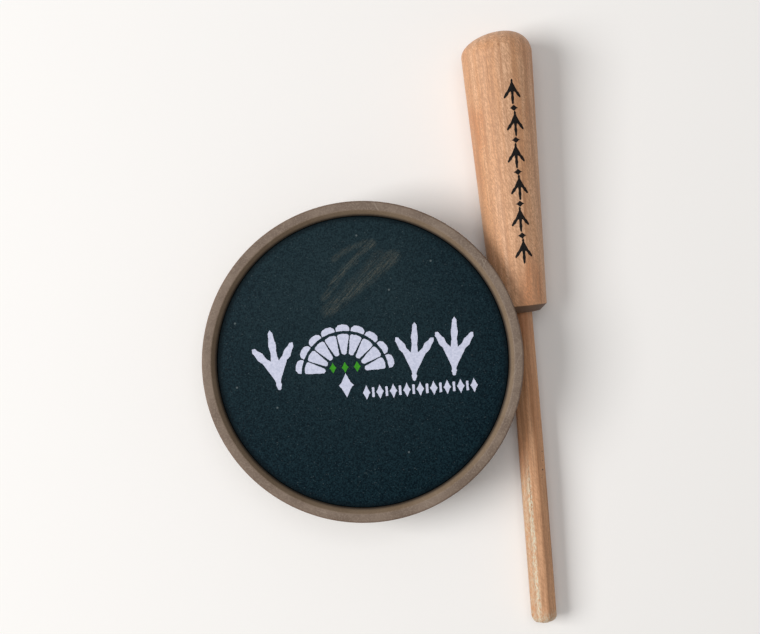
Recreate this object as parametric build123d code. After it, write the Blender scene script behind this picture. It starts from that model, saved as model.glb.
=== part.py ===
from build123d import *
import math
import os

# Turkey pot call with its striker. Millimetres, +Z up. The origin is the middle of the pot's base.
# The striker lies beside the pot on the same surface, with its handle end towards +Y.

# Pot, outside
play_radius = 44.45       # the open playing surface, a 3.5 in circle
rim_wall = 4.35           # from the playing surface's edge to the outside of the rim
pot_height = 22.0
rim_band = 4.5            # height of the upright band round the rim
rim_overhang = 5.6        # how far the rim stands out past the neck
neck_drop = 3.5           # height of the hollow curve under the rim
wall_taper = 2.7          # how much the wall narrows from the neck to the base
base_edge = 1.4
rim_edge = 0.6

# Pot, inside
rim_bevel = 1.55          # radial width of the slope inside the rim
play_recess = 2.2         # from the rim's top down to the playing surface
ledge_width = 2.6
wall_thickness = 2.9
floor_thickness = 3.2

# Playing surface and sound board
disc_gap = 0.15           # between a disc's edge and the recess round it
disc_thickness = 2.4
disc_edge = 0.25
bead_thickness = 0.4
bead_inset = 0.5          # an adhesive bead stops this far short of the face it lies on
board_gap = 1.6           # from the sound board's edge to the foot of the wall's inside
board_thickness = 2.4
board_drop = 4.6          # free height between the sound board and the playing surface

# Pedestal and sound holes, moulded in one with the pot
pedestal_radius = 15.5
pedestal_wall = 3.5
outer_holes = 10
outer_hole_radius = 4.5
outer_hole_inset = 2.6    # web between the ring of holes and the wall's inside
inner_holes = 4
inner_hole_radius = 2.2
inner_hole_inset = 2.4    # web between the inner holes and the pedestal's inside
hole_chamfer = 0.5

# Striker handle, a turned cone with a domed top
handle_length = 88.0
handle_end_radius = 8.4
handle_taper = 1.87       # degrees each side
dome_height = 7.4
end_chamfer_radial = 2.2
end_chamfer_axial = 1.9
end_dome = 0.45
handle_edge = 0.5
dome_bow = 0.6            # fullness of the dome; 0.5523 would be a quarter ellipse

# Striker peg, square stock with its corners cut, glued in a blind bore
peg_length = 97.1         # free length outside the handle
peg_depth = 24.0
peg_lean = 0.9            # degrees between the peg and the handle, as drilled
neck_stock = 6.15         # across the flats where it enters the handle
neck_cut = 1.0
neck_turn = 15.0          # degrees
tip_stock = 7.3
tip_cut = 1.83
tip_turn = 0.0
tip_round = 2.4
full_stock_share = 0.6    # the stock reaches its full size this far along the free length
glue_gap = 0.15
bore_spare = 0.6          # empty depth past the end of the peg

# How the striker lies beside the pot
striker_heading = 5.53    # degrees that its axis turns from +Y towards -X
corner_bearing = 21.7     # degrees from +X to the handle corner nearest the pot
striker_clearance = 0.4   # least gap between the handle and the pot

rim_radius = play_radius + rim_wall
neck_radius = rim_radius - rim_overhang
base_radius = neck_radius - wall_taper
rim_underside = pot_height - rim_band
neck_height = rim_underside - neck_drop
cavity_radius = base_radius - wall_thickness
cavity_top_radius = neck_radius - wall_thickness
disc_radius = play_radius - disc_gap
ledge_radius = play_radius - ledge_width
board_radius = cavity_radius - board_gap
pedestal_inner = pedestal_radius - pedestal_wall
play_height = pot_height - play_recess
disc_bottom = play_height - disc_thickness
ledge_height = disc_bottom - bead_thickness
board_top = disc_bottom - board_drop
board_bottom = board_top - board_thickness
pedestal_top = board_bottom - bead_thickness

cone_start = end_dome + end_chamfer_axial
dome_start = handle_length - dome_height
taper_rise = math.tan(math.radians(handle_taper))
shoulder_radius = handle_end_radius + (dome_start - cone_start) * taper_rise


def round_corner(profile, corner, radius):
    vertex = profile.vertices().sort_by_distance((corner[0], corner[1], 0))[0]
    return fillet(vertex, radius)


def turned(profile):
    return revolve(Plane.XZ * profile, Axis.Z)


def raised(shape, height):
    return Pos(0, 0, height) * shape


def ring(outer_radius, inner_radius, height):
    return extrude(Circle(outer_radius) - Circle(inner_radius), height)


def holes(count, circle_radius, hole_radius):
    """Straight holes through the floor, countersunk a little on the underside."""
    mouth_radius = hole_radius + hole_chamfer
    drill = extrude(Circle(hole_radius), floor_thickness)
    mouth = Cone(mouth_radius, hole_radius, hole_chamfer, align=(Align.CENTER, Align.CENTER, Align.MIN))
    return PolarLocations(circle_radius, count) * (drill + mouth)


def pot_shell():
    foot = (base_radius, 0)
    rim_low = (rim_radius, rim_underside)
    rim_high = (rim_radius, pot_height)
    bevel_top = (play_radius + rim_bevel, pot_height)
    flare = Line((neck_radius + neck_drop, rim_underside), rim_low)
    cove = RadiusArc((neck_radius, neck_height), (neck_radius + neck_drop, rim_underside), neck_drop)
    inside = [
        rim_low,
        rim_high,
        bevel_top,
        (play_radius, play_height),
        (play_radius, ledge_height),
        (ledge_radius, ledge_height),
        (cavity_top_radius, neck_height),
        (cavity_radius, floor_thickness),
        (pedestal_radius, floor_thickness),
        (pedestal_radius, pedestal_top),
        (pedestal_inner, pedestal_top),
        (pedestal_inner, floor_thickness),
        (0, floor_thickness),
        (0, 0),
        foot,
        (neck_radius, neck_height),
    ]
    profile = make_face(Wire([*Polyline(inside).edges(), cove.edge(), flare.edge()]))
    profile = round_corner(profile, foot, base_edge)
    for corner in (rim_low, rim_high, bevel_top):
        profile = round_corner(profile, corner, rim_edge)
    outer_circle = cavity_radius - outer_hole_inset - outer_hole_radius
    inner_circle = pedestal_inner - inner_hole_inset - inner_hole_radius
    shell = turned(profile) - holes(outer_holes, outer_circle, outer_hole_radius)
    return shell - holes(inner_holes, inner_circle, inner_hole_radius)


def disc(radius, thickness):
    plate = extrude(Circle(radius), thickness)
    return chamfer(plate.edges().filter_by(GeomType.CIRCLE), disc_edge)


def stock_section(stock, cut, turn):
    """Cross-section of the peg, with one cut corner facing up at a turn of 0."""
    square = Rectangle(stock, stock)
    return Rot(0, 0, 45 + turn) * chamfer(square.vertices(), cut)


def corner_radius(stock, cut):
    return math.hypot(stock / 2, stock / 2 - cut)


bore_radius = corner_radius(neck_stock, neck_cut) + glue_gap
peg_placed = Rot(0, peg_lean, 0)    # from the bore's own axis to the handle's axis


def bore():
    return peg_placed * extrude(raised(Circle(bore_radius), -cone_start), peg_depth + bore_spare + cone_start)


def handle():
    chamfer_low = (handle_end_radius - end_chamfer_radial, end_dome)
    chamfer_high = (handle_end_radius, cone_start)
    shoulder = (shoulder_radius, dome_start)
    outline = Polyline((0, handle_length), (0, 0), chamfer_low, chamfer_high, shoulder)
    dome = Bezier(
        shoulder,
        (shoulder_radius, dome_start + dome_height * dome_bow),
        (shoulder_radius * dome_bow, handle_length),
        (0, handle_length),
    )
    profile = make_face(Wire([*outline.edges(), dome.edge()]))
    profile = round_corner(profile, chamfer_high, handle_edge)
    return turned(profile) - bore()


def peg():
    full_stock = -peg_length * full_stock_share
    sections = [
        raised(stock_section(neck_stock, neck_cut, neck_turn), peg_depth),
        raised(stock_section(neck_stock, neck_cut, neck_turn), 0),
        raised(stock_section(tip_stock, tip_cut, tip_turn), full_stock),
        raised(stock_section(tip_stock, tip_cut, tip_turn), -peg_length),
    ]
    shaft = loft(sections, ruled=True)
    widest = max(corner_radius(neck_stock, neck_cut), corner_radius(tip_stock, tip_cut))
    envelope_radius = widest + glue_gap
    envelope = extrude(raised(Circle(envelope_radius), -peg_length), peg_length + peg_depth)
    tip_edge = envelope.edges().group_by(Axis.Z)[0]
    return peg_placed * (shaft & fillet(tip_edge, tip_round))


def peg_glue(peg_solid):
    """The film that fills the bore round the peg, short of the bore's mouth."""
    start = end_dome
    film = extrude(raised(Circle(bore_radius), start), peg_depth - start)
    return peg_placed * film - peg_solid


def striker_frame():
    """Where the striker lies: the centre of the bore's mouth, with Z along the handle to its top.

    It lies on the cone's side, or on its shoulder and tip if a thick peg would meet the surface first.
    The round handle tucks in under the rim until it comes near the rim's lower edge or the wall.
    """
    tip_half = tip_stock / math.sqrt(2) - tip_cut / math.sqrt(2)
    touching = math.degrees(math.asin((shoulder_radius - tip_half) / (dome_start + peg_length)))
    pitch = math.radians(min(handle_taper, touching))
    heading = math.radians(striker_heading)
    bearing = math.radians(corner_bearing)
    mouth_height = shoulder_radius * math.cos(pitch) - dome_start * math.sin(pitch)
    end_height = mouth_height + cone_start * math.sin(pitch)
    reach = handle_end_radius + striker_clearance
    under_rim = max(reach**2 - (rim_underside - end_height)**2, 0)
    centre_distance = max(rim_radius + math.sqrt(under_rim), neck_radius + reach)
    corner_distance = centre_distance - handle_end_radius
    along = Vector(-math.sin(heading), math.cos(heading))
    across = Vector(math.cos(heading), math.sin(heading))
    corner = Vector(math.cos(bearing), math.sin(bearing)) * corner_distance
    mouth = corner + across * handle_end_radius - along * (cone_start * math.cos(pitch))
    mouth_centre = (mouth.X, mouth.Y, mouth_height)
    axis = along * math.cos(pitch) + Vector(0, 0, math.sin(pitch))
    return Plane(origin=mouth_centre, x_dir=across, z_dir=axis)


def build_parts():
    bead_outer = disc_radius - bead_inset
    pad_outer = pedestal_radius - bead_inset
    pad_inner = pedestal_inner + bead_inset
    placed = striker_frame()
    peg_solid = peg()
    return {
        "pot_shell": pot_shell(),
        "playing_surface": raised(disc(disc_radius, disc_thickness), disc_bottom),
        "surface_adhesive": raised(ring(bead_outer, ledge_radius + bead_inset, bead_thickness), ledge_height),
        "sound_board": raised(disc(board_radius, board_thickness), board_bottom),
        "sound_board_adhesive": raised(ring(pad_outer, pad_inner, bead_thickness), pedestal_top),
        "striker_handle": placed * handle(),
        "striker_peg": placed * peg_solid,
        "peg_glue": placed * peg_glue(peg_solid),
    }


os.makedirs("parts", exist_ok=True)
for name, shape in build_parts().items():
    export_step(shape, f"parts/{name}.step")
    box = shape.bounding_box()
    print(f"{name}: {shape.volume:.0f} mm3, z {box.min.Z:.2f} to {box.max.Z:.2f}")
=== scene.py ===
import math

import bmesh
import bpy
import numpy as np
from mathutils import Matrix, Vector


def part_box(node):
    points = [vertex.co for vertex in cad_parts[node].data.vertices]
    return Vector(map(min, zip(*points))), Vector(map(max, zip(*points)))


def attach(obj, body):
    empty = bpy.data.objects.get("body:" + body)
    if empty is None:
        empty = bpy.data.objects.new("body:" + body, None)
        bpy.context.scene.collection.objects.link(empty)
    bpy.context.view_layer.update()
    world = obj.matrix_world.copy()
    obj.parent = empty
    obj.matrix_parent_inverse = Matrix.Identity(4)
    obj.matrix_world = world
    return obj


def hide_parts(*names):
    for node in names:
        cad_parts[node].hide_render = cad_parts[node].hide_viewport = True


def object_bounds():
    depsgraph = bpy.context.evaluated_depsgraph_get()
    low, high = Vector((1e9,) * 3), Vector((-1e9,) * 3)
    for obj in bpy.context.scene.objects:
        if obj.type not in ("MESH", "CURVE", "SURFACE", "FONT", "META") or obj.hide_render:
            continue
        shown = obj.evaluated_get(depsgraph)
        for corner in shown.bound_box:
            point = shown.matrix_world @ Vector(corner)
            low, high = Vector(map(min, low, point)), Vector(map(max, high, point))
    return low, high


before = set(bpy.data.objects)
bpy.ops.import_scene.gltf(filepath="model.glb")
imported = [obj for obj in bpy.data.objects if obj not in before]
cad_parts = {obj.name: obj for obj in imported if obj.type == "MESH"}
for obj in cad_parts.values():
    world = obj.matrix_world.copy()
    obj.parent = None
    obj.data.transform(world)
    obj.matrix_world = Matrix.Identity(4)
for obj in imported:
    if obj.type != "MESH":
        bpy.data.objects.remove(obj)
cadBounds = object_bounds()
scene = bpy.context.scene
mm = 0.001


# Node helpers

def addNode(tree, kind, inputs=None, **settings):
    node = tree.nodes.new(kind)
    for name, value in settings.items():
        setattr(node, name, value)
    for key, value in (inputs or {}).items():
        if isinstance(value, bpy.types.NodeSocket):
            tree.links.new(value, node.inputs[key])
        else:
            node.inputs[key].default_value = value
    return node


def maths(tree, operation, first, second=0.0, third=None, clamp=False):
    inputs = {0: first, 1: second}
    if third is not None:
        inputs[2] = third
    node = addNode(tree, "ShaderNodeMath", inputs, operation=operation)
    node.use_clamp = clamp
    return node.outputs[0]


def noiseAt(tree, where, scale, detail=3.0, roughness=0.55, distortion=0.0):
    inputs = {
        "Vector": where, "Scale": scale, "Detail": detail, "Roughness": roughness, "Distortion": distortion}
    return addNode(tree, "ShaderNodeTexNoise", inputs).outputs["Fac"]


def vectorMaths(tree, operation, first, second=(0, 0, 0)):
    return addNode(tree, "ShaderNodeVectorMath", {0: first, 1: second}, operation=operation).outputs


def flattened(tree, where):
    return vectorMaths(tree, "MULTIPLY", where, (1.0, 1.0, 0.0))[0]


def lengthOf(tree, vector):
    return vectorMaths(tree, "LENGTH", vector)["Value"]


def distanceTo(tree, where, spot):
    return vectorMaths(tree, "DISTANCE", where, spot)["Value"]


def mapped(tree, where, scale=(1, 1, 1), turn=(0, 0, 0), place=(0, 0, 0)):
    inputs = {"Vector": where, "Scale": scale, "Rotation": turn, "Location": place}
    return addNode(tree, "ShaderNodeMapping", inputs).outputs[0]


def stretched(tree, where, scale, turn):
    # Turned first and stretched after, so that the stretch lies along the turned axes
    return mapped(tree, mapped(tree, where, turn=turn), scale=scale)


def between(tree, value, low, high):
    # 0 below low, 1 above high, smooth in the middle; swapped limits turn it round
    inputs = {"Value": value, "From Min": low, "From Max": high}
    return addNode(tree, "ShaderNodeMapRange", inputs, interpolation_type="SMOOTHSTEP").outputs["Result"]


def blendColours(tree, share, first, second, blend="MIX"):
    node = addNode(tree, "ShaderNodeMix", data_type="RGBA", blend_type=blend)
    for index, value in ((0, share), (6, first), (7, second)):
        if isinstance(value, bpy.types.NodeSocket):
            tree.links.new(value, node.inputs[index])
        else:
            node.inputs[index].default_value = value if index == 0 else (*value, 1.0)
    return node.outputs[2]


def tinted(tree, mask, strength, colour, tint, blend="MIX"):
    return blendColours(tree, maths(tree, "MULTIPLY", mask, strength), colour, tint, blend)


def startMaterial(name, roughness=0.5, **fixed):
    material = bpy.data.materials.new(name)
    material.use_nodes = True
    tree = material.node_tree
    shader = tree.nodes["Principled BSDF"]
    shader.inputs["Roughness"].default_value = roughness
    for socket, value in fixed.items():
        shader.inputs[socket.replace("_", " ")].default_value = value
    where = addNode(tree, "ShaderNodeTexCoord").outputs["Object"]
    return material, tree, shader, where


def finishShader(tree, shader, colour, roughness=None, height=None, depth=0.0):
    tree.links.new(colour, shader.inputs["Base Color"])
    if roughness is not None:
        tree.links.new(roughness, shader.inputs["Roughness"])
    if height is not None:
        bump = addNode(tree, "ShaderNodeBump", {"Strength": 1.0, "Distance": depth, "Height": height})
        tree.links.new(bump.outputs[0], shader.inputs["Normal"])


# Camera, floor and lights

stageSizes = dict(
    eye=(5.2 * mm, 13.6 * mm, 450 * mm), lens=67.0, floorSpan=12.0, floorGap=0.02 * mm,
    aim=(0, 0.01, 0), worldColour=(1.0, 0.95, 0.89, 1), worldStrength=0.27)

# Place, size, watts and colour of each light
lights = {
    "key": ((-1.12, -0.05, 1.06), 0.8, 18.9, (1.0, 0.98, 0.955)),
    "overhead": ((0.0, 0.25, 1.4), 0.9, 4.4, (0.98, 0.985, 1.0)),
}


def floorPaper():
    material, tree, shader, where = startMaterial("floorPaper", roughness=0.9)
    mottle = noiseAt(tree, where, 9.0, detail=2.0)
    finishShader(tree, shader, blendColours(tree, mottle, (0.94, 0.94, 0.94), (0.95, 0.95, 0.95)))
    return material


def areaLight(name, place, target, size, watts, colour):
    light = bpy.data.lights.new(name, "AREA")
    light.size = size
    light.energy = watts
    light.color = colour
    lamp = bpy.data.objects.new(name, light)
    lamp.location = place
    lamp.rotation_euler = (Vector(target) - Vector(place)).to_track_quat("-Z", "Y").to_euler()
    scene.collection.objects.link(lamp)


def setStage():
    camera = bpy.data.objects.new("camera", bpy.data.cameras.new("camera"))
    camera.data.lens = stageSizes["lens"]
    camera.data.clip_start = 0.01
    camera.location = stageSizes["eye"]
    scene.collection.objects.link(camera)
    scene.camera = camera

    span = stageSizes["floorSpan"] / 2
    corners = [(-span, -span, 0), (span, -span, 0), (span, span, 0), (-span, span, 0)]
    sheet = bpy.data.meshes.new("floor")
    sheet.from_pydata(corners, [], [(0, 1, 2, 3)])
    floor = bpy.data.objects.new("floor", sheet)
    floor.location.z = cadBounds[0].z - stageSizes["floorGap"]
    sheet.materials.append(floorPaper())
    scene.collection.objects.link(floor)

    for name, (place, size, watts, colour) in lights.items():
        areaLight(name, place, stageSizes["aim"], size, watts, colour)
    world = bpy.data.worlds.new("studio")
    world.use_nodes = True
    sky = world.node_tree.nodes["Background"].inputs
    sky["Color"].default_value = stageSizes["worldColour"]
    sky["Strength"].default_value = stageSizes["worldStrength"]
    scene.world = world
    scene.view_settings.view_transform = "Standard"


setStage()
print("stage set")


# Frames of the pieces that lie at an angle

def axisOf(node, innerShare, rounds=4):
    # Middle, direction and both ends of a long piece, from its faces outside innerShare of its radius
    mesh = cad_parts[node].data
    mesh.calc_loop_triangles()
    points = np.array([v.co for v in mesh.vertices])
    faces = points[np.array([t.vertices for t in mesh.loop_triangles])]
    centres = faces.mean(axis=1)
    areas = np.linalg.norm(np.cross(faces[:, 1] - faces[:, 0], faces[:, 2] - faces[:, 0]), axis=1)
    used = np.ones(len(areas), bool)
    for _ in range(rounds):
        middle = np.average(centres[used], axis=0, weights=areas[used])
        spread = centres - middle
        moments = (spread[used] * areas[used, None]).T @ spread[used]
        direction = np.linalg.eigh(moments)[1][:, -1]
        direction *= np.sign(direction[1])
        radial = np.linalg.norm(spread - np.outer(spread @ direction, direction), axis=1)
        used = radial > innerShare * radial.max()
    reach = (points - middle) @ direction
    return Vector(middle), Vector(direction), reach.min(), reach.max()


def lyingFrame(origin, direction):
    # X across to the right, Z along the piece, Y down: the frame that the turned pieces are made in
    across = direction.cross(Vector((0, 0, 1))).normalized()
    down = direction.cross(across)
    turn = Matrix((across, down, direction)).transposed().to_4x4()
    return Matrix.Translation(origin) @ turn


handleMiddle, handleAxis, handleLow, handleHigh = axisOf("striker_handle", 0.7)
pegMiddle, pegAxis, pegLow, pegHigh = axisOf("striker_peg", 0.0)
handleFrame = lyingFrame(handleMiddle + handleAxis * handleLow, handleAxis)
handleLength = handleHigh - handleLow
pegMouth = pegAxis * (handleFrame.translation - pegMiddle).dot(pegAxis)
pegFrame = lyingFrame(pegMiddle + pegMouth, pegAxis)
pegTip = pegLow - pegMouth.dot(pegAxis)
pegTop = pegHigh - pegMouth.dot(pegAxis)
print(f"handle {handleLength / mm:.2f} mm, peg {pegTip / mm:.2f} to {pegTop / mm:.2f} mm")


def inFrame(tree, where, place):
    # Object coordinates turned into a lying piece's own frame
    back = place.inverted()
    return mapped(tree, where, turn=back.to_euler(), place=back.translation)


# Materials

def ringMask(tree, radius, start, full, ebb, end):
    # 1 from full to ebb and 0 past start and end, all in mm from the pot's axis
    outer = between(tree, radius, end * mm, ebb * mm)
    return maths(tree, "MULTIPLY", outer, between(tree, radius, start * mm, full * mm))


plasticLook = dict(
    dark=(0.158, 0.114, 0.086), mid=(0.222, 0.168, 0.130), pale=(0.275, 0.215, 0.170),
    scratch=(0.36, 0.30, 0.25), corner=(0.13, 0.066, 0.040), slopeFootShade=(0.016, 0.012, 0.008),
    warm=(0.27, 0.19, 0.115), scratchRuns=((0.4, 90.0), (1.9, 70.0), (2.7, 110.0)))


def potPlastic():
    look = plasticLook
    material, tree, shader, where = startMaterial("potPlastic", roughness=0.55, Specular_IOR_Level=0.3)
    cloud = noiseAt(tree, where, 160.0, detail=5.0, roughness=0.6)
    grain = noiseAt(tree, where, 1900.0, detail=3.0, roughness=0.65)
    colour = blendColours(tree, between(tree, cloud, 0.35, 0.68), look["dark"], look["mid"])
    colour = tinted(tree, between(tree, grain, 0.46, 0.66), 0.6, colour, look["pale"])
    marks = None
    for turn, stretch in look["scratchRuns"]:
        streak = stretched(tree, where, (1500.0, stretch, 500.0), (0, 0, turn))
        line = between(tree, noiseAt(tree, streak, 1.0, detail=1.0), 0.66, 0.74)
        marks = line if marks is None else maths(tree, "MAXIMUM", marks, line)
    patchy = between(tree, noiseAt(tree, where, 90.0, detail=1.0), 0.45, 0.6)
    marks = maths(tree, "MULTIPLY", marks, patchy)
    colour = tinted(tree, marks, 0.34, colour, look["scratch"])
    # The rim's outer corner is redder and darker, and painted shade darkens the foot of the slope inside it
    radius = lengthOf(tree, flattened(tree, where))
    height = addNode(tree, "ShaderNodeSeparateXYZ", {0: where}).outputs["Z"]
    # Painted shade: the rim's rounded outer corner is painted as a darker, redder band near its top
    outer = between(tree, radius, 48.1 * mm, 48.8 * mm)
    corner = maths(tree, "MULTIPLY", outer, between(tree, height, 20 * mm, 21.6 * mm))
    colour = tinted(tree, corner, 0.5, colour, look["corner"])
    # Painted shade: a near-black ring at the foot of the inner slope, where the rim's shadow falls
    foot = maths(tree, "MULTIPLY", ringMask(tree, radius, 43.0, 44.0, 44.5, 45.5), 0.85)
    colour = blendColours(tree, foot, colour, look["slopeFootShade"])
    # Painted highlight: a lighter golden band on the inner slope, where it catches the light
    slope = maths(tree, "MULTIPLY", ringMask(tree, radius, 44.6, 45.2, 45.6, 46.4), 0.5)
    colour = blendColours(tree, slope, colour, look["warm"])
    rough = maths(tree, "MULTIPLY_ADD", cloud, 0.22, 0.42)
    relief = maths(tree, "MULTIPLY_ADD", marks, -0.5, maths(tree, "MULTIPLY", grain, 0.35))
    finishShader(tree, shader, colour, rough, relief, 0.05 * mm)
    return material


# Rubbed strokes on the slate: points in mm from the pot's axis, then the stroke's half width and strength
scuffStrokes = [
    ([(-9.0, 30.9), (-6.6, 33.0), (-3.4, 34.9), (1.2, 36.4)], 0.8, 0.75),
    ([(-11.6, 19.6), (-8.2, 25.0), (-4.4, 29.4), (-0.6, 33.2), (2.8, 36.1)], 1.1, 0.85),
    ([(-10.6, 15.3), (-5.4, 19.6), (-0.3, 23.9), (5.2, 28.4), (9.2, 32.0)], 1.9, 0.9),
    ([(-8.4, 18.0), (-3.2, 23.0), (1.6, 28.0), (4.6, 32.2)], 1.9, 0.45),
    ([(-5.6, 18.7), (-0.9, 21.9), (3.0, 24.9)], 0.4, 0.7),
]

slateLook = dict(
    dark=(0.0002, 0.0054, 0.0102), pale=(0.0068, 0.0232, 0.0325), dustAndSheen=(0.0185, 0.0370, 0.0455),
    chalk=(0.085, 0.092, 0.080), dust=(0.12, 0.15, 0.16), edge=(0.001, 0.003, 0.005), dustAndSheenMiddle=(-8.0, 26.0),
    strokeBearing=-46.0, wobble=1.6, flecks=[
        (-38.9, 11.6), (-38.3, -7.9), (7.9, 21.9), (-2.0, 38.4), (20.6, 30.7), (-26.0, -14.0), (14.0, -27.5)])


def strokeGroup():
    # How far a point is from the line between Start and End, in the plane of the slate
    group = bpy.data.node_groups.new("strokeDistance", "ShaderNodeTree")
    for name in ("Place", "Start", "End"):
        group.interface.new_socket(name, in_out="INPUT", socket_type="NodeSocketVector")
    group.interface.new_socket("Distance", in_out="OUTPUT", socket_type="NodeSocketFloat")
    ends = addNode(group, "NodeGroupInput").outputs
    run = vectorMaths(group, "SUBTRACT", ends["End"], ends["Start"])[0]
    out = vectorMaths(group, "SUBTRACT", ends["Place"], ends["Start"])[0]
    along = vectorMaths(group, "DOT_PRODUCT", out, run)["Value"]
    square = vectorMaths(group, "DOT_PRODUCT", run, run)["Value"]
    share = maths(group, "DIVIDE", along, square, clamp=True)
    foot = addNode(group, "ShaderNodeVectorMath", {0: run}, operation="SCALE")
    group.links.new(share, foot.inputs["Scale"])
    addNode(group, "NodeGroupOutput", {"Distance": distanceTo(group, out, foot.outputs[0])})
    return group


def scuffMask(tree, flat):
    group = strokeGroup()
    inputs = {"Vector": flat, "Scale": 0.35, "Detail": 2.0}
    noise = addNode(tree, "ShaderNodeTexNoise", inputs).outputs["Color"]
    shifted = vectorMaths(tree, "ADD", noise, (-0.5, -0.5, -0.5))[0]
    scaled = vectorMaths(tree, "MULTIPLY", shifted, (slateLook["wobble"], slateLook["wobble"], 0.0))[0]
    place = vectorMaths(tree, "ADD", flat, scaled)[0]
    total = None
    for points, halfWidth, strength in scuffStrokes:
        nearest = None
        for start, end in zip(points, points[1:]):
            step = tree.nodes.new("ShaderNodeGroup")
            step.node_tree = group
            tree.links.new(place, step.inputs["Place"])
            step.inputs["Start"].default_value = (*start, 0)
            step.inputs["End"].default_value = (*end, 0)
            gap = step.outputs[0]
            nearest = gap if nearest is None else maths(tree, "MINIMUM", nearest, gap)
        core = between(tree, nearest, halfWidth * 1.5, halfWidth * 0.3)
        body = maths(tree, "MULTIPLY", core, strength)
        total = body if total is None else maths(tree, "MAXIMUM", total, body)
    return total


def slate():
    look = slateLook
    material, tree, shader, where = startMaterial("slate", roughness=0.6, Specular_IOR_Level=0.05)
    inMm = mapped(tree, where, scale=(1000.0, 1000.0, 1000.0))
    flat = flattened(tree, inMm)
    speckle = noiseAt(tree, inMm, 2.3, detail=2.0, roughness=0.6)
    cloud = noiseAt(tree, inMm, 0.06, detail=3.0)
    grains = between(tree, speckle, 0.36, 0.66)
    colour = blendColours(tree, grains, look["dark"], look["pale"])
    # Chalk dust and painted sheen: a paler haze, thickest round the place that is rubbed, so the slate is
    # painted lighter towards the top left
    near = between(tree, distanceTo(tree, flat, (*look["dustAndSheenMiddle"], 0)), 74.0, 4.0)
    dustAndSheen = maths(tree, "MULTIPLY", near, maths(tree, "MULTIPLY_ADD", cloud, 0.6, 0.35))
    dustAndSheen = maths(tree, "MULTIPLY", dustAndSheen, maths(tree, "MULTIPLY_ADD", grains, 0.7, 0.5))
    colour = blendColours(tree, dustAndSheen, colour, look["dustAndSheen"])
    # Chalky rubbing: streaked along the strokes and broken up by the grain
    streaks = stretched(tree, flat, (0.16, 1.9, 1.0), (0, 0, math.radians(look["strokeBearing"])))
    broken = between(tree, noiseAt(tree, streaks, 1.0, detail=4.0, roughness=0.7), 0.36, 0.66)
    grainy = between(tree, noiseAt(tree, flat, 2.6, detail=2.0), 0.30, 0.62)
    scuff = maths(tree, "MULTIPLY", scuffMask(tree, flat), maths(tree, "MULTIPLY", broken, grainy))
    colour = blendColours(tree, scuff, colour, look["chalk"])
    dust = None
    for spot in look["flecks"]:
        dot = between(tree, distanceTo(tree, flat, (*spot, 0)), 0.42, 0.18)
        dust = dot if dust is None else maths(tree, "MAXIMUM", dust, dot)
    fine = between(tree, noiseAt(tree, inMm, 2.7, detail=0.0), 0.76, 0.84)
    dust = maths(tree, "MAXIMUM", maths(tree, "MULTIPLY", dust, 0.7), maths(tree, "MULTIPLY", fine, 0.3))
    colour = blendColours(tree, dust, colour, look["dust"])
    # Painted shade: the slate darkens towards its edge, under the rim's shadow
    rim = between(tree, lengthOf(tree, flat), 42.2, 44.4)
    colour = tinted(tree, rim, 0.75, colour, look["edge"])
    rough = maths(tree, "MULTIPLY_ADD", speckle, 0.2, 0.46)
    rough = maths(tree, "MULTIPLY_ADD", scuff, 0.25, rough)
    finishShader(tree, shader, colour, rough, speckle, 0.06 * mm)
    return material


mapleLook = dict(
    pale=(0.840, 0.520, 0.325), warm=(0.740, 0.400, 0.215), dark=(0.42, 0.215, 0.115),
    streak=(0.36, 0.170, 0.080), fleckShare=0.45, endGrainAndShade=(0.095, 0.055, 0.033))

# Each flaw in the peg: across, along and half width, in mm
pegLook = dict(
    pale=(0.745, 0.432, 0.252), warm=(0.615, 0.308, 0.155), dark=(0.33, 0.160, 0.080),
    streak=(0.24, 0.105, 0.048), fleckShare=0.22, chalk=(0.66, 0.70, 0.56), flaw=(0.02, 0.012, 0.008),
    flaws=[(2.9, -49.2, 0.36), (3.2, -43.6, 0.24), (2.4, -51.6, 0.18), (3.2, -46.4, 0.2)])


def woodBody(tree, local, look):
    # Long-grained wood in its own frame: broad figure, growth lines, fibres, flecks, pores and dark streaks
    pale, warm, dark, fleckShare = look["pale"], look["warm"], look["dark"], look["fleckShare"]
    slant = (0, math.radians(28), 0)
    broad = noiseAt(tree, mapped(tree, local, scale=(330.0, 330.0, 16.0)), 1.0, detail=3.0, distortion=0.4)
    colour = blendColours(tree, between(tree, broad, 0.34, 0.66), warm, pale)
    patch = noiseAt(tree, mapped(tree, local, scale=(75.0, 75.0, 34.0)), 1.0, detail=2.0)
    colour = tinted(tree, between(tree, patch, 0.50, 0.68), 0.45, colour, warm, "MULTIPLY")
    rings = mapped(tree, local, scale=(1.0, 0.35, 0.025), turn=(0, 0, math.radians(20)))
    inputs = {"Vector": rings, "Scale": 95.0, "Distortion": 2.2, "Detail": 2.0}
    wave = addNode(tree, "ShaderNodeTexWave", inputs).outputs["Fac"]
    colour = tinted(tree, between(tree, wave, 0.70, 1.0), 0.32, colour, dark)
    long = mapped(tree, local, scale=(2600.0, 2600.0, 75.0))
    fibre = noiseAt(tree, long, 1.0, detail=4.0, roughness=0.65)
    colour = tinted(tree, between(tree, fibre, 0.58, 0.30), 0.55, colour, dark)
    flecks = noiseAt(tree, stretched(tree, local, (2400.0, 2400.0, 520.0), slant), 1.0, detail=2.0)
    colour = tinted(tree, between(tree, flecks, 0.54, 0.40), fleckShare, colour, dark)
    pores = noiseAt(tree, stretched(tree, local, (3000.0, 3000.0, 1500.0), slant), 1.0, detail=2.0)
    colour = tinted(tree, between(tree, pores, 0.55, 0.38), fleckShare, colour, dark)
    streak = noiseAt(tree, mapped(tree, local, scale=(620.0, 620.0, 11.0)), 1.0, detail=2.0)
    colour = tinted(tree, between(tree, streak, 0.60, 0.70), 0.6, colour, look["streak"])
    relief = maths(tree, "ADD", fibre, maths(tree, "MULTIPLY", flecks, 0.5))
    return colour, fibre, relief


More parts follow.
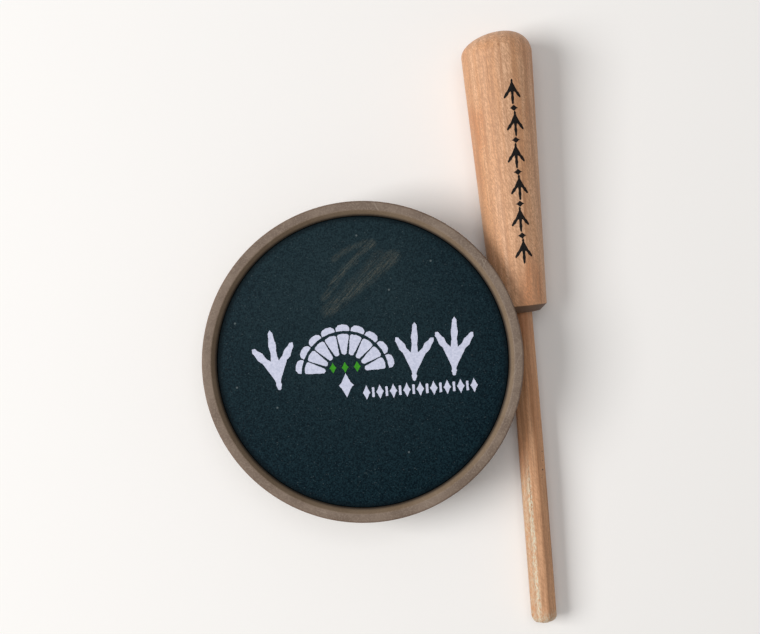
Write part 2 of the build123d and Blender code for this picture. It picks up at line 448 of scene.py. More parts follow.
def handleMaple():
    material, tree, shader, where = startMaterial("handleMaple", roughness=0.5, Specular_IOR_Level=0.3)
    local = inFrame(tree, where, handleFrame)
    colour, fibre, relief = woodBody(tree, local, mapleLook)
    along = addNode(tree, "ShaderNodeSeparateXYZ", {0: local}).outputs["Z"]
    # End grain and painted shade: the end chamfer and end face are painted darker, partly for the shade on
    # the chamfer that faces away from the light
    colour = tinted(tree, between(tree, along, 2.6 * mm, 2.2 * mm), 0.9, colour, mapleLook["endGrainAndShade"])
    rough = maths(tree, "MULTIPLY_ADD", fibre, 0.25, 0.40)
    finishShader(tree, shader, colour, rough, relief, 0.06 * mm)
    return material


def pegWood():
    material, tree, shader, where = startMaterial("pegWood", roughness=0.6, Specular_IOR_Level=0.25)
    local = inFrame(tree, where, pegFrame)
    colour, fibre, relief = woodBody(tree, local, pegLook)
    localMm = mapped(tree, local, scale=(1000.0, 1000.0, 1000.0))
    axes = addNode(tree, "ShaderNodeSeparateXYZ", {0: localMm}).outputs
    across, along = axes["X"], axes["Z"]
    # Chalk from the playing surface: a pale stripe on the left facet, thicker towards the tip
    wander = noiseAt(tree, mapped(tree, local, scale=(0.0, 0.0, 60.0)), 1.0, detail=2.0)
    centre = maths(tree, "MULTIPLY_ADD", wander, 1.1, -2.35)
    offset = maths(tree, "ABSOLUTE", maths(tree, "SUBTRACT", across, centre))
    stripe = between(tree, offset, 1.0, 0.25)
    crumbly = mapped(tree, local, scale=(3200.0, 3200.0, 900.0))
    crumbs = noiseAt(tree, crumbly, 1.0, detail=3.0, roughness=0.7)
    veil = maths(tree, "MULTIPLY", between(tree, across, -0.9, -2.6), 0.45)
    lower = between(tree, along, -40.0, -60.0)
    tipped = between(tree, along, pegTip / mm + 5.0, pegTip / mm + 1.0)
    cover = maths(tree, "MAXIMUM", stripe, veil)
    cover = maths(tree, "MAXIMUM", cover, maths(tree, "MULTIPLY", tipped, 0.8))
    chalk = maths(tree, "MULTIPLY", maths(tree, "MULTIPLY", cover, between(tree, crumbs, 0.40, 0.60)), lower)
    colour = tinted(tree, chalk, 0.8, colour, pegLook["chalk"])
    side = vectorMaths(tree, "MULTIPLY", localMm, (1.0, 0.0, 1.0))[0]
    for spotAcross, spotAlong, spotSize in pegLook["flaws"]:
        gap = distanceTo(tree, side, (spotAcross, 0.0, spotAlong))
        colour = tinted(tree, between(tree, gap, spotSize, spotSize * 0.4), 0.85, colour, pegLook["flaw"])
    finishShader(tree, shader, colour, maths(tree, "MULTIPLY_ADD", fibre, 0.2, 0.5), relief, 0.08 * mm)
    return material


def printInk(name, base, worn, showing):
    material, tree, shader, where = startMaterial(name, roughness=0.65, Specular_IOR_Level=0.15)
    coarse = noiseAt(tree, where, 1500.0, detail=4.0, roughness=0.7)
    colour = blendColours(tree, between(tree, coarse, 0.35, 0.65), worn, base)
    pin = between(tree, noiseAt(tree, where, 4200.0, detail=1.0), 0.76, 0.82)
    colour = tinted(tree, pin, 0.5, colour, showing)
    finishShader(tree, shader, colour, maths(tree, "MULTIPLY_ADD", coarse, 0.2, 0.5), coarse, 0.01 * mm)
    return material


def boardGlass():
    material, tree, shader, where = startMaterial("boardGlass", Transmission_Weight=1.0, IOR=1.5)
    tint = noiseAt(tree, where, 40.0, detail=1.0)
    colour = blendColours(tree, tint, (0.80, 0.90, 0.86), (0.86, 0.93, 0.90))
    smear = noiseAt(tree, where, 260.0, detail=3.0)
    finishShader(tree, shader, colour, maths(tree, "MULTIPLY_ADD", smear, 0.08, 0.02))
    return material


def driedAdhesive(name, first, second, gloss):
    material, tree, shader, where = startMaterial(name, Subsurface_Weight=0.15)
    shader.inputs["Subsurface Scale"].default_value = 0.5 * mm
    lumps = noiseAt(tree, where, 700.0, detail=3.0)
    colour = blendColours(tree, between(tree, lumps, 0.3, 0.7), first, second)
    finishShader(tree, shader, colour, maths(tree, "MULTIPLY_ADD", lumps, 0.2, gloss), lumps, 0.1 * mm)
    return material


plastic = potPlastic()
slateStone = slate()
maple = handleMaple()
pegStock = pegWood()
whiteInk = printInk("whiteInk", (0.66, 0.69, 0.86), (0.52, 0.56, 0.72), (0.03, 0.05, 0.06))
greenInk = printInk("greenInk", (0.045, 0.33, 0.012), (0.03, 0.22, 0.012), (0.012, 0.05, 0.02))
blackInk = printInk("blackInk", (0.006, 0.006, 0.007), (0.014, 0.012, 0.011), (0.22, 0.13, 0.08))
glass = boardGlass()
bead = driedAdhesive("clearAdhesive", (0.62, 0.58, 0.48), (0.74, 0.71, 0.62), 0.3)
amberGlue = driedAdhesive("amberGlue", (0.10, 0.055, 0.022), (0.17, 0.10, 0.045), 0.25)
print("materials made")


# Geometry Nodes helpers

def geometryTree(name, sizes):
    # sizes: socket name to (type, value); the tree takes and gives one geometry
    tree = bpy.data.node_groups.new(name, "GeometryNodeTree")
    tree.interface.new_socket("Geometry", in_out="INPUT", socket_type="NodeSocketGeometry")
    for socket, (kind, value) in sizes.items():
        item = tree.interface.new_socket(socket, in_out="INPUT", socket_type=kind)
        if value is not None:
            item.default_value = value
    tree.interface.new_socket("Geometry", in_out="OUTPUT", socket_type="NodeSocketGeometry")
    return tree, addNode(tree, "NodeGroupInput").outputs


def endTree(tree, given, geometry):
    real = addNode(tree, "GeometryNodeRealizeInstances", {0: geometry}).outputs[0]
    inputs = {"Geometry": real, "Material": given["Material"]}
    painted = addNode(tree, "GeometryNodeSetMaterial", inputs).outputs[0]
    addNode(tree, "NodeGroupOutput", {"Geometry": painted})


def grow(name, startMesh, tree, values):
    # Runs a tree on a mesh and returns the plain mesh that comes out
    holder = bpy.data.objects.new(name + "Maker", startMesh)
    scene.collection.objects.link(holder)
    maker = holder.modifiers.new("maker", "NODES")
    maker.node_group = tree
    sockets = {s.name: s.identifier for s in tree.interface.items_tree if s.in_out == "INPUT"}
    for socket, value in values.items():
        maker[sockets[socket]] = value
    depsgraph = bpy.context.evaluated_depsgraph_get()
    mesh = bpy.data.meshes.new_from_object(holder.evaluated_get(depsgraph), depsgraph=depsgraph)
    mesh.name = name
    bpy.data.objects.remove(holder)
    return mesh


def addPiece(name, mesh, body, replaced=()):
    piece = bpy.data.objects.new(name, mesh)
    scene.collection.objects.link(piece)
    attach(piece, body)
    if replaced:
        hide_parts(*replaced)
    return piece


def weld(mesh, place=None, sharp=32, reach=0.004):
    # Joins doubled points, turns faces outwards and marks the sharp edges
    work = bmesh.new()
    work.from_mesh(mesh)
    bmesh.ops.remove_doubles(work, verts=work.verts, dist=reach * mm)
    bmesh.ops.recalc_face_normals(work, faces=work.faces)
    work.to_mesh(mesh)
    work.free()
    if place is not None:
        mesh.transform(place)
    mesh.shade_smooth()
    mesh.set_sharp_from_angle(angle=math.radians(sharp))
    return mesh


# Turned pieces

def rounded(corners, steps=6):
    # Outline through (radius, height, bend) corners, in mm, each bend an arc
    points = []
    for index, (radius, height, bend) in enumerate(corners):
        here = Vector((radius, height))
        if bend == 0:
            points.append(here)
            continue
        before = (Vector(corners[index - 1][:2]) - here).normalized()
        after = (Vector(corners[index + 1][:2]) - here).normalized()
        half = before.angle(after) / 2
        centre = here + (before + after).normalized() * bend / math.sin(half)
        reach = bend / math.tan(half)
        arms = [here + before * reach - centre, here + after * reach - centre]
        first, last = (math.atan2(arm.y, arm.x) for arm in arms)
        sweep = (last - first + math.pi) % math.tau - math.pi
        for step in range(steps + 1):
            angle = first + sweep * step / steps
            points.append(centre + Vector((math.cos(angle), math.sin(angle))) * bend)
    return points


def outlineMesh(name, points):
    mesh = bpy.data.meshes.new(name)
    places = [(point.x * mm, 0, point.y * mm) for point in points]
    mesh.from_pydata(places, [(i, i + 1) for i in range(len(points) - 1)], [])
    return mesh


def latheTree():
    # Turns an outline of points in the XZ plane round Z
    sizes = {"Segments": ("NodeSocketInt", 64), "Material": ("NodeSocketMaterial", None)}
    tree, given = geometryTree("lathe", sizes)
    size = addNode(tree, "GeometryNodeAttributeDomainSize", {0: given["Geometry"]}).outputs["Point Count"]
    columns = maths(tree, "ADD", given["Segments"], 1.0)
    inputs = {"Size X": 1.0, "Size Y": 1.0, "Vertices X": columns, "Vertices Y": size}
    grid = addNode(tree, "GeometryNodeMeshGrid", inputs)
    index = addNode(tree, "GeometryNodeInputIndex").outputs[0]
    row = maths(tree, "MODULO", index, size)
    column = maths(tree, "FLOOR", maths(tree, "DIVIDE", maths(tree, "ADD", index, 0.5), size))
    angle = maths(tree, "MULTIPLY", maths(tree, "DIVIDE", column, given["Segments"]), math.tau)
    place = addNode(tree, "GeometryNodeInputPosition").outputs[0]
    inputs = {"Geometry": given["Geometry"], "Index": row}
    sample = addNode(tree, "GeometryNodeSampleIndex", inputs, data_type="FLOAT_VECTOR")
    tree.links.new(place, sample.inputs["Value"])
    profile = addNode(tree, "ShaderNodeSeparateXYZ", {0: sample.outputs[0]}).outputs
    x = maths(tree, "MULTIPLY", profile["X"], maths(tree, "COSINE", angle))
    y = maths(tree, "MULTIPLY", profile["X"], maths(tree, "SINE", angle))
    turned = addNode(tree, "ShaderNodeCombineXYZ", {"X": x, "Y": y, "Z": profile["Z"]}).outputs[0]
    inputs = {"Geometry": grid.outputs["Mesh"], "Position": turned}
    moved = addNode(tree, "GeometryNodeSetPosition", inputs).outputs[0]
    inputs = {"Geometry": moved, "Distance": 0.002 * mm}
    joined = addNode(tree, "GeometryNodeMergeByDistance", inputs).outputs[0]
    endTree(tree, given, joined)
    return tree


lathe = latheTree()


def turn(name, corners, segments, material, steps=6):
    outline = outlineMesh(name + "Outline", rounded(corners, steps))
    return grow(name, outline, lathe, {"Segments": segments, "Material": material})


potSizes = dict(
    height=22.0, rimBand=4.5, overhang=5.6, cove=3.5, taper=2.7, footRound=1.4, rimRound=0.6, rimWall=4.35,
    bevel=1.55, recess=2.2, discDrop=5.0, ledge=2.6, wall=2.9, floor=3.2,
    pedestalRadius=15.5, pedestalWall=3.5, pedestalTop=10.0, holes=10, holeRadius=4.5, holeInset=2.6,
    smallHoles=4, smallRadius=2.2, smallInset=2.4, holeMouth=0.5, holeFlare=0.3, drillSegments=48,
    drillOvershoot=1.0, segments=240, sharp=26)


def drillTree():
    # Cuts rings of holes with a widened mouth through a floor that lies on Z = 0
    sizes = {
        "Drill": ("NodeSocketObject", None), "Count": ("NodeSocketInt", 10),
        "Circle": ("NodeSocketFloat", 0.03), "Material": ("NodeSocketMaterial", None)}
    tree, given = geometryTree("drillRing", sizes)
    inputs = {"Vertices": given["Count"], "Radius": given["Circle"]}
    ring = addNode(tree, "GeometryNodeMeshCircle", inputs).outputs[0]
    drill = addNode(tree, "GeometryNodeObjectInfo", {"Object": given["Drill"]}).outputs["Geometry"]
    drills = addNode(tree, "GeometryNodeInstanceOnPoints", {"Points": ring, "Instance": drill}).outputs[0]
    solid = addNode(tree, "GeometryNodeRealizeInstances", {0: drills}).outputs[0]
    inputs = {"Mesh 1": given["Geometry"], "Mesh 2": solid}
    cut = addNode(tree, "GeometryNodeMeshBoolean", inputs, operation="DIFFERENCE", solver="EXACT")
    endTree(tree, given, cut.outputs["Mesh"])
    return tree


def potShell():
    s = potSizes
    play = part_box("pot_shell")[1].x / mm - s["rimWall"]
    rim = play + s["rimWall"]
    neck = rim - s["overhang"]
    foot = neck - s["taper"]
    under = s["height"] - s["rimBand"]
    neckTop = under - s["cove"]
    ledgeTop = s["height"] - s["discDrop"]
    inner = foot - s["wall"]
    pedestalIn = s["pedestalRadius"] - s["pedestalWall"]
    corners = [
        (0, 0, 0),
        (foot - s["footRound"] - 1.0, 0, 0),
        (foot, 0, s["footRound"]),
        (neck, neckTop - 0.01, 0),
        (neck, under, s["cove"]),
        (rim, under, s["rimRound"]),
        (rim, s["height"], s["rimRound"]),
        (play + s["bevel"], s["height"], s["rimRound"]),
        (play, s["height"] - s["recess"], 0.15),
        (play, ledgeTop, 0),
        (play - s["ledge"], ledgeTop, 0.2),
        (inner + s["taper"], neckTop, 0),
        (inner, s["floor"], 0.8),
        (s["pedestalRadius"], s["floor"], 0.6),
        (s["pedestalRadius"], s["pedestalTop"], 0.3),
        (pedestalIn, s["pedestalTop"], 0.3),
        (pedestalIn, s["floor"], 0.6),
        (0, s["floor"], 0),
    ]
    mesh = turn("potShell", corners, s["segments"], plastic)
    drillRing = drillTree()
    rings = [
        (s["holes"], s["holeRadius"], inner - s["holeInset"] - s["holeRadius"]),
        (s["smallHoles"], s["smallRadius"], pedestalIn - s["smallInset"] - s["smallRadius"]),
    ]
    bite = s["drillOvershoot"]
    mouth = s["holeMouth"]
    flareStart = s["floor"] - s["holeFlare"]
    for count, radius, circle in rings:
        cutter = [
            (0, -bite, 0), (radius + mouth + bite, -bite, 0), (radius, mouth, 0.3), (radius, flareStart, 0),
            (radius + bite, flareStart + bite, 0), (0, flareStart + bite, 0)]
        drill = turn("drill", cutter, s["drillSegments"], plastic, 3)
        drillObject = bpy.data.objects.new("drill", weld(drill))
        scene.collection.objects.link(drillObject)
        values = {"Drill": drillObject, "Count": count, "Circle": circle * mm, "Material": plastic}
        mesh = grow("potShell", weld(mesh), drillRing, values)
        bpy.data.objects.remove(drillObject)
    return addPiece("potShell", weld(mesh, sharp=s["sharp"]), "pot", ["pot_shell"])


discSizes = dict(edge=0.3, segments=240, sharp=60)


def playingSurface():
    low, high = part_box("playing_surface")
    edge = discSizes["edge"]
    radius, bottom, top = high.x / mm, low.z / mm, high.z / mm
    corners = [
        (0, bottom, 0), (radius * 0.5, bottom, 0), (radius, bottom, edge), (radius, top, edge),
        (radius * 0.66, top, 0), (radius * 0.33, top, 0), (0, top, 0)]
    mesh = turn("playingSurface", corners, discSizes["segments"], slateStone, 4)
    welded = weld(mesh, sharp=discSizes["sharp"])
    return addPiece("playingSurface", welded, "pot", ["playing_surface"])


handleSizes = dict(
    endRadius=8.4, taper=1.87, domeHeight=7.4, fullness=2.08, chamferRadial=2.2, chamferAxial=1.9,
    endDome=0.45, edgeRound=0.5, boreRadius=3.86, boreDepth=24.6, lean=0.9, skew=0.115, settle=0.3,
    domeSteps=20, coneSteps=6, segments=128, sharp=40)


def handlePiece():
    s = handleSizes
    length = handleLength / mm
    coneStart = s["endDome"] + s["chamferAxial"]
    domeStart = length - s["domeHeight"]
    shoulder = s["endRadius"] + (domeStart - coneStart) * math.tan(math.radians(s["taper"]))
    widening = shoulder - s["endRadius"]
    rise = domeStart - coneStart
    cone = []
    for step in range(1, s["coneSteps"] + 1):
        radius = s["endRadius"] + widening * step / s["coneSteps"]
        cone.append((radius, coneStart + rise * step / s["coneSteps"], 0))
    dome = []
    for step in range(1, s["domeSteps"] + 1):
        angle = math.pi / 2 * step / s["domeSteps"]
        reach = math.cos(angle) ** (2 / s["fullness"]) if step < s["domeSteps"] else 0.0
        climb = math.sin(angle) ** (2 / s["fullness"])
        dome.append((shoulder * reach, domeStart + s["domeHeight"] * climb, 0))
    corners = [
        (0, s["boreDepth"], 0),
        (s["boreRadius"], s["boreDepth"], 0),
        (s["boreRadius"], 0.1, 0.25),
        (s["endRadius"] - s["chamferRadial"], s["endDome"], 0.5),
        (s["endRadius"], coneStart, s["edgeRound"]),
        *cone,
        *dome,
    ]
    mesh = turn("strikerHandle", corners, s["segments"], maple, 4)
    lean = math.tan(math.radians(s["lean"]))
    for vertex in mesh.vertices:
        place = vertex.co
        radius = math.hypot(place.x, place.y) / mm
        depth = place.z / mm
        if depth < s["boreDepth"] + 0.1 and radius < s["boreRadius"] + 0.02:
            place.x += lean * place.z
        if depth > domeStart:
            share = (depth - domeStart) / s["domeHeight"]
            place.z += share * (s["skew"] * place.x - s["settle"] * mm)
    welded = weld(mesh, handleFrame, s["sharp"])
    return addPiece("strikerHandle", welded, "striker", ["striker_handle"])


pegSizes = dict(
    neckStock=6.15, neckCut=1.0, neckTurn=15.0, tipStock=7.3, tipCut=1.83, tipTurn=0.0, fullShare=0.6,
    edgeRound=0.16, edgeFullness=0.42, tipRound=2.4, step=2.0, tipSteps=9, facetSteps=4, wear=0.12,
    tipRoughness=0.035, endRoughness=0.05, sharp=30)


def pegSection(stock, cut, turned, spare):
    # Points round the cut-cornered square, anticlockwise, with each corner softened over spare
    half = stock / 2
    corners = []
    for quarter in range(4):
        angle = math.radians(90 * quarter + 45 + turned)
        spin = Matrix.Rotation(angle, 2)
        corners.append(spin @ Vector((half, half - cut)))
        corners.append(spin @ Vector((half - cut, half)))
    points = []
    for index, corner in enumerate(corners):
        before = (corners[index - 1] - corner).normalized()
        after = (corners[(index + 1) % len(corners)] - corner).normalized()
        points.append(corner + before * spare)
        points.append(corner + (before + after) * spare * pegSizes["edgeFullness"])
        points.append(corner + after * spare)
        run = corners[(index + 1) % len(corners)] - corner
        for step in range(1, pegSizes["facetSteps"]):
            points.append(corner + run * step / pegSizes["facetSteps"])
    return points


def pegPiece():
    s = pegSizes
    tip = pegTip / mm
    top = pegTop / mm
    full = tip * s["fullShare"]
    stations = [top, top * 0.5, 0.0]
    count = int(-tip / s["step"])
    stations += [tip * k / count for k in range(1, count)]
    stations = [z for z in stations if z > tip + s["tipRound"] + 0.2]
    work = bmesh.new()
    rings = []

    def addRing(height, shrink, rough):
        share = min(max(height / full, 0.0), 1.0)
        stock = s["neckStock"] + (s["tipStock"] - s["neckStock"]) * share
        cut = s["neckCut"] + (s["tipCut"] - s["neckCut"]) * share
        turned = s["neckTurn"] + (s["tipTurn"] - s["neckTurn"]) * share
        ring = []
        for point in pegSection(stock, cut, turned, s["edgeRound"]):
            radius = point.length
            place = point * max(0.0, (radius - shrink) / radius)
            wave = math.sin(place.x * 7.3 + height * 5.1) + math.sin(place.y * 9.7 - height * 6.3)
            swell = 1 + rough * wave / 2
            ring.append(work.verts.new((place.x * swell * mm, place.y * swell * mm, height * mm)))
        rings.append(ring)

    for height in stations:
        addRing(height, 0.0, 0.0)
    widest = s["tipStock"] / math.sqrt(2) - s["tipCut"] / math.sqrt(2)
    for step in range(s["tipSteps"] + 1):
        angle = math.pi / 2 * step / s["tipSteps"]
        inset = s["tipRound"] * (1 - math.cos(angle))
        addRing(tip + s["tipRound"] * (1 - math.sin(angle)), inset, s["tipRoughness"] * math.sin(angle))
    core = widest - s["tipRound"]
    for share in (0.66, 0.33):
        height = tip + s["wear"] * (0.5 - share) * 0.5 + 0.05
        addRing(height, s["tipRound"] + core * (1 - share), s["endRoughness"])
    for upper, lower in zip(rings, rings[1:]):
        for index in range(len(upper)):
            following = (index + 1) % len(upper)
            work.faces.new((upper[index], lower[index], lower[following], upper[following]))
    work.faces.new(rings[0])
    work.faces.new(reversed(rings[-1]))
    mesh = bpy.data.meshes.new("strikerPeg")
    work.to_mesh(mesh)
    work.free()
    mesh.materials.append(pegStock)
    welded = weld(mesh, pegFrame, s["sharp"])
    return addPiece("strikerPeg", welded, "striker", ["striker_peg"])


potShell()
playingSurface()
handlePiece()
pegPiece()
print("turned pieces made")


# Printed decoration: tracks, a tail fan and diamonds as thin plates

def loopMesh(name, points):
    # A closed outline of unit size, used by the print tree
    mesh = bpy.data.meshes.new(name)
    count = len(points)
    edges = [(i, (i + 1) % count) for i in range(count)]
    mesh.from_pydata([(x, y, 0) for x, y in points], edges, [])
    return mesh


def mirrored(half):
    # Outline from points up one side of a shape whose tip is on the Y axis
    return [(x, y) for x, y in half] + [(-x, y) for x, y in reversed(half) if x > 0]


def trackOutline():
    # A bird's three-toed track, middle toe along Y
    outline = []
    toes = [(44, 0.88, 0.11, 0.28), (0, 1.0, 0.115, 0.28), (-44, 0.88, 0.11, 0.28), (180, 0.40, 0.09, 0.16)]
    for bearing, length, half, root in toes:
        run = length - root
        knuckles = [(1.0, 0.0), (0.72, 0.28), (1.0, 0.5), (0.66, 0.74), (0.6, 0.9)]
        side = [(half * width, root + run * share) for width, share in knuckles] + [(0, length)]
        toe = [(-x, y) for x, y in side] + [(x, y) for x, y in reversed(side[:-1])]
        spin = Matrix.Rotation(math.radians(bearing), 2)
        outline += [tuple(spin @ Vector(point)) for point in toe]
    return outline


outlines = {
    "track": trackOutline(),
    "feather": mirrored([
        (0.0, 0.40), (0.038, 0.42), (0.060, 0.55), (0.085, 0.68),
        (0.098, 0.77), (0.080, 0.80), (0.0, 0.815)]),
    "featherTip": mirrored([(0.0, 0.872), (0.104, 0.862), (0.104, 0.93), (0.065, 0.985), (0.0, 1.0)]),
    "diamond": mirrored([(0.0, -0.5), (0.20, -0.12), (0.32, 0.0), (0.20, 0.12), (0.0, 0.5)]),
    "bar": mirrored([(0.0, -0.5), (0.09, -0.46), (0.075, 0.0), (0.09, 0.46), (0.0, 0.5)]),
}


printSizes = dict(
    tilt=4.0, thickness=0.03, sunk=0.01, ragged=0.5, seed=3.0, middleX=0.3, middleY=2.4,
    edgeStep=0.22, edgeScale=1500.0, join=0.0005, seedStep=1.7, greenShare=0.6)


def printTree():
    # Copies an outline along a row or round a fan, roughens its edge and makes plates of it
    sizes = {
        "Count": ("NodeSocketInt", 5), "Spacing": ("NodeSocketFloat", 0.0),
        "Step Turn": ("NodeSocketFloat", 0.0), "Own Turn": ("NodeSocketFloat", 0.0),
        "Sway": ("NodeSocketFloat", 0.0), "Size": ("NodeSocketFloat", 1.0),
        "Squeeze": ("NodeSocketFloat", 1.0), "Place": ("NodeSocketVector", (0, 0, 0)),
        "Heading": ("NodeSocketFloat", 0.0), "Thickness": ("NodeSocketFloat", 0.0),
        "Ragged": ("NodeSocketFloat", 0.0), "Seed": ("NodeSocketFloat", 0.0),
        "Splits": ("NodeSocketInt", 0), "Material": ("NodeSocketMaterial", None)}
    tree, given = geometryTree("printRun", sizes)
    count = given["Count"]
    points = addNode(tree, "GeometryNodeMeshLine", {"Count": count, "Offset": (0, 0, 0)}).outputs[0]
    index = addNode(tree, "GeometryNodeInputIndex").outputs[0]
    middle = maths(tree, "MULTIPLY", maths(tree, "SUBTRACT", count, 1.0), 0.5)
    step = maths(tree, "SUBTRACT", index, middle)
    odd = maths(tree, "MULTIPLY_ADD", maths(tree, "MODULO", index, 2.0), 2.0, -1.0)
    x = maths(tree, "MULTIPLY", step, given["Spacing"])
    y = maths(tree, "MULTIPLY", odd, given["Sway"])
    spot = addNode(tree, "ShaderNodeCombineXYZ", {"X": x, "Y": y}).outputs[0]
    placed = addNode(tree, "GeometryNodeSetPosition", {"Geometry": points, "Position": spot}).outputs[0]
    turned = maths(tree, "ADD", maths(tree, "MULTIPLY", step, given["Step Turn"]), given["Own Turn"])
    around = addNode(tree, "ShaderNodeCombineXYZ", {"Z": turned}).outputs[0]
    wide = maths(tree, "MULTIPLY", given["Size"], given["Squeeze"])
    inputs = {"X": wide, "Y": given["Size"], "Z": given["Size"]}
    scale = addNode(tree, "ShaderNodeCombineXYZ", inputs).outputs[0]
    curve = addNode(tree, "GeometryNodeMeshToCurve", {0: given["Geometry"]}).outputs[0]
    inputs = {"Points": placed, "Instance": curve, "Rotation": around, "Scale": scale}
    copies = addNode(tree, "GeometryNodeInstanceOnPoints", inputs).outputs[0]
    loops = addNode(tree, "GeometryNodeRealizeInstances", {0: copies}).outputs[0]
    inputs = {"Curve": loops, "Length": printSizes["edgeStep"] * mm}
    fine = addNode(tree, "GeometryNodeResampleCurve", inputs, mode="LENGTH")
    here = addNode(tree, "GeometryNodeInputPosition").outputs[0]
    inputs = {
        "Vector": here, "W": given["Seed"], "Scale": printSizes["edgeScale"], "Detail": 3.0, "Roughness": 0.7}
    noise = addNode(tree, "ShaderNodeTexNoise", inputs, noise_dimensions="4D").outputs["Color"]
    centred = vectorMaths(tree, "ADD", noise, (-0.5, -0.5, -0.5))[0]
    level = flattened(tree, centred)
    shaken = addNode(tree, "ShaderNodeVectorMath", {0: level}, operation="SCALE")
    tree.links.new(given["Ragged"], shaken.inputs["Scale"])
    inputs = {"Geometry": fine.outputs[0], "Offset": shaken.outputs[0]}
    rough = addNode(tree, "GeometryNodeSetPosition", inputs).outputs[0]
    filled = addNode(tree, "GeometryNodeFillCurve", {0: rough}).outputs[0]
    flat = addNode(tree, "GeometryNodeSubdivideMesh", {"Mesh": filled, "Level": given["Splits"]}).outputs[0]
    lift = addNode(tree, "ShaderNodeCombineXYZ", {"Z": 1.0}).outputs[0]
    inputs = {"Mesh": flat, "Offset": lift, "Offset Scale": given["Thickness"], "Individual": False}
    top = addNode(tree, "GeometryNodeExtrudeMesh", inputs).outputs[0]
    under = addNode(tree, "GeometryNodeFlipFaces", {0: flat}).outputs[0]
    both = addNode(tree, "GeometryNodeJoinGeometry").inputs[0]
    tree.links.new(top, both)
    tree.links.new(under, both)
    inputs = {"Geometry": both.node.outputs[0], "Distance": 0.001 * mm}
    plates = addNode(tree, "GeometryNodeMergeByDistance", inputs)
    bearing = addNode(tree, "ShaderNodeCombineXYZ", {"Z": given["Heading"]}).outputs[0]
    inputs = {"Geometry": plates.outputs[0], "Translation": given["Place"], "Rotation": bearing}
    endTree(tree, given, addNode(tree, "GeometryNodeTransform", inputs).outputs[0])
    return tree


def wrapTree():
    # Lays a flat print on a cone: X runs up the cone, Y round it
    sizes = {
        "Start": ("NodeSocketFloat", 0.0), "Radius": ("NodeSocketFloat", 0.01),
        "Slope": ("NodeSocketFloat", 0.0), "Bearing": ("NodeSocketFloat", 0.0),
        "Drift": ("NodeSocketFloat", 0.0), "Material": ("NodeSocketMaterial", None)}
    tree, given = geometryTree("wrapOnCone", sizes)
    here = addNode(tree, "GeometryNodeInputPosition").outputs[0]
    flat = addNode(tree, "ShaderNodeSeparateXYZ", {0: here}).outputs
    along = maths(tree, "ADD", given["Start"], flat["X"])
    radius = maths(tree, "MULTIPLY_ADD", along, given["Slope"], given["Radius"])
    outer = maths(tree, "ADD", radius, flat["Z"])
    centre = maths(tree, "MULTIPLY_ADD", flat["X"], given["Drift"], given["Bearing"])
    angle = maths(tree, "SUBTRACT", centre, maths(tree, "DIVIDE", flat["Y"], radius))
    x = maths(tree, "MULTIPLY", outer, maths(tree, "SINE", angle))
    y = maths(tree, "MULTIPLY", maths(tree, "MULTIPLY", outer, maths(tree, "COSINE", angle)), -1.0)
    place = addNode(tree, "ShaderNodeCombineXYZ", {"X": x, "Y": y, "Z": along}).outputs[0]
    inputs = {"Geometry": given["Geometry"], "Position": place}
    endTree(tree, given, addNode(tree, "GeometryNodeSetPosition", inputs).outputs[0])
    return tree


fanPlace = (-6.0, -6.0)

# Outline, count, spacing, step turn, own turn, sway, size, squeeze, x, y: mm and degrees, before the tilt
slateRuns = [
    ("track", 1, 0, 0, 6, 0, 13.2, 0.78, -26.8, -4.0),
    ("feather", 9, 0, -19, 0, 0, 15.4, 1.19, *fanPlace),
    ("featherTip", 9, 0, -19, 0, 0, 15.4, 1.3, *fanPlace),
    ("diamond", 1, 0, 0, 0, 0, 7.4, 0.95, fanPlace[0], fanPlace[1] - 3.2),
    ("track", 2, 12.2, 0, -4, 0.4, 12.8, 0.74, 21.2, -3.8),
    ("diamond", 9, 4.1, 0, 0, 0, 4.4, 0.85, 16.4, -11.8),
    ("bar", 8, 4.1, 0, 0, 0, 3.0, 1.5, 16.4, -11.8),
]
greenRuns = [("diamond", 3, 3.7, 0, 0, 0, 3.3, 1.05, fanPlace[0], fanPlace[1] + 2.3)]
handleRuns = [
    ("track", 6, 9.7, 0, 90, 0.2, 5.6, 0.80, 1.6, 0.0),
    ("diamond", 5, 9.7, 0, 90, 0, 1.9, 2.3, -0.15, 0.0),
]
handlePrint = dict(middle=43.4, bearing=13.6, drift=0.10, driftSpan=55, splits=2, ragged=0.22)


printRun = printTree()
wrapOnCone = wrapTree()


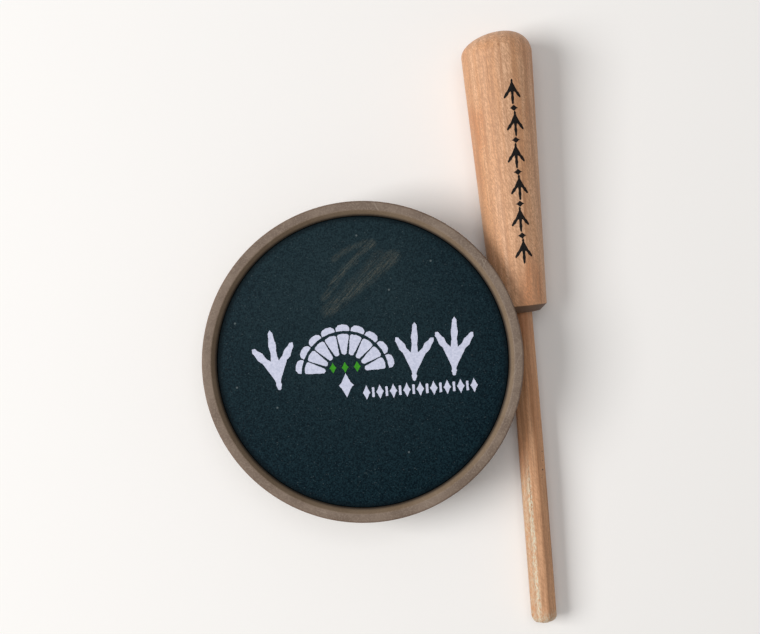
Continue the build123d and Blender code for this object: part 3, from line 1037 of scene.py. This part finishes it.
def printMesh(name, runs, material, tilt, place, ragged, splits):
    parts = bmesh.new()
    for order, (shape, count, spacing, stepTurn, ownTurn, sway, size, squeeze, x, y) in enumerate(runs):
        spot = Matrix.Rotation(math.radians(tilt), 2) @ Vector((x, y))
        values = {
            "Count": count, "Spacing": spacing * mm, "Step Turn": math.radians(stepTurn),
            "Own Turn": math.radians(ownTurn), "Sway": sway * mm, "Size": size * mm, "Squeeze": squeeze,
            "Place": (place[0] + spot.x * mm, place[1] + spot.y * mm, place[2] - printSizes["sunk"] * mm),
            "Heading": math.radians(tilt), "Thickness": (printSizes["thickness"] + printSizes["sunk"]) * mm,
            "Ragged": ragged * mm, "Seed": printSizes["seed"] + order * printSizes["seedStep"],
            "Splits": splits, "Material": material}
        run = grow(name, loopMesh(shape, outlines[shape]), printRun, values)
        parts.from_mesh(run)
    mesh = bpy.data.meshes.new(name)
    parts.to_mesh(mesh)
    parts.free()
    mesh.materials.append(material)
    return mesh


def placePrints():
    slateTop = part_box("playing_surface")[1].z
    middle = (printSizes["middleX"] * mm, printSizes["middleY"] * mm, slateTop)
    tilt = printSizes["tilt"]
    ragged = printSizes["ragged"]
    white = printMesh("slatePrint", slateRuns, whiteInk, tilt, middle, ragged, 0)
    addPiece("slatePrint", weld(white, reach=printSizes["join"]), "pot")
    greenRagged = ragged * printSizes["greenShare"]
    green = printMesh("greenPrint", greenRuns, greenInk, tilt, middle, greenRagged, 0)
    addPiece("greenPrint", weld(green, reach=printSizes["join"]), "pot")
    h = handlePrint
    flat = printMesh("handlePrint", handleRuns, blackInk, 0.0, (0, 0, 0), h["ragged"], h["splits"])
    s = handleSizes
    slope = math.tan(math.radians(s["taper"]))
    values = {
        "Start": h["middle"] * mm, "Slope": slope,
        "Radius": (s["endRadius"] - slope * (s["endDome"] + s["chamferAxial"])) * mm,
        "Bearing": math.radians(h["bearing"]), "Drift": h["drift"] / (h["driftSpan"] * mm),
        "Material": blackInk}
    wrapped = grow("handlePrint", flat, wrapOnCone, values)
    addPiece("handlePrint", weld(wrapped, handleFrame, reach=printSizes["join"]), "striker")


placePrints()
print("prints made")


# CAD pieces that stay, with a finish of their own

def refinish(node, material):
    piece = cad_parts[node]
    piece.data.materials.clear()
    piece.data.materials.append(material)


refinish("surface_adhesive", bead)
refinish("sound_board_adhesive", bead)
refinish("sound_board", glass)
refinish("peg_glue", amberGlue)

print("pieces placed")
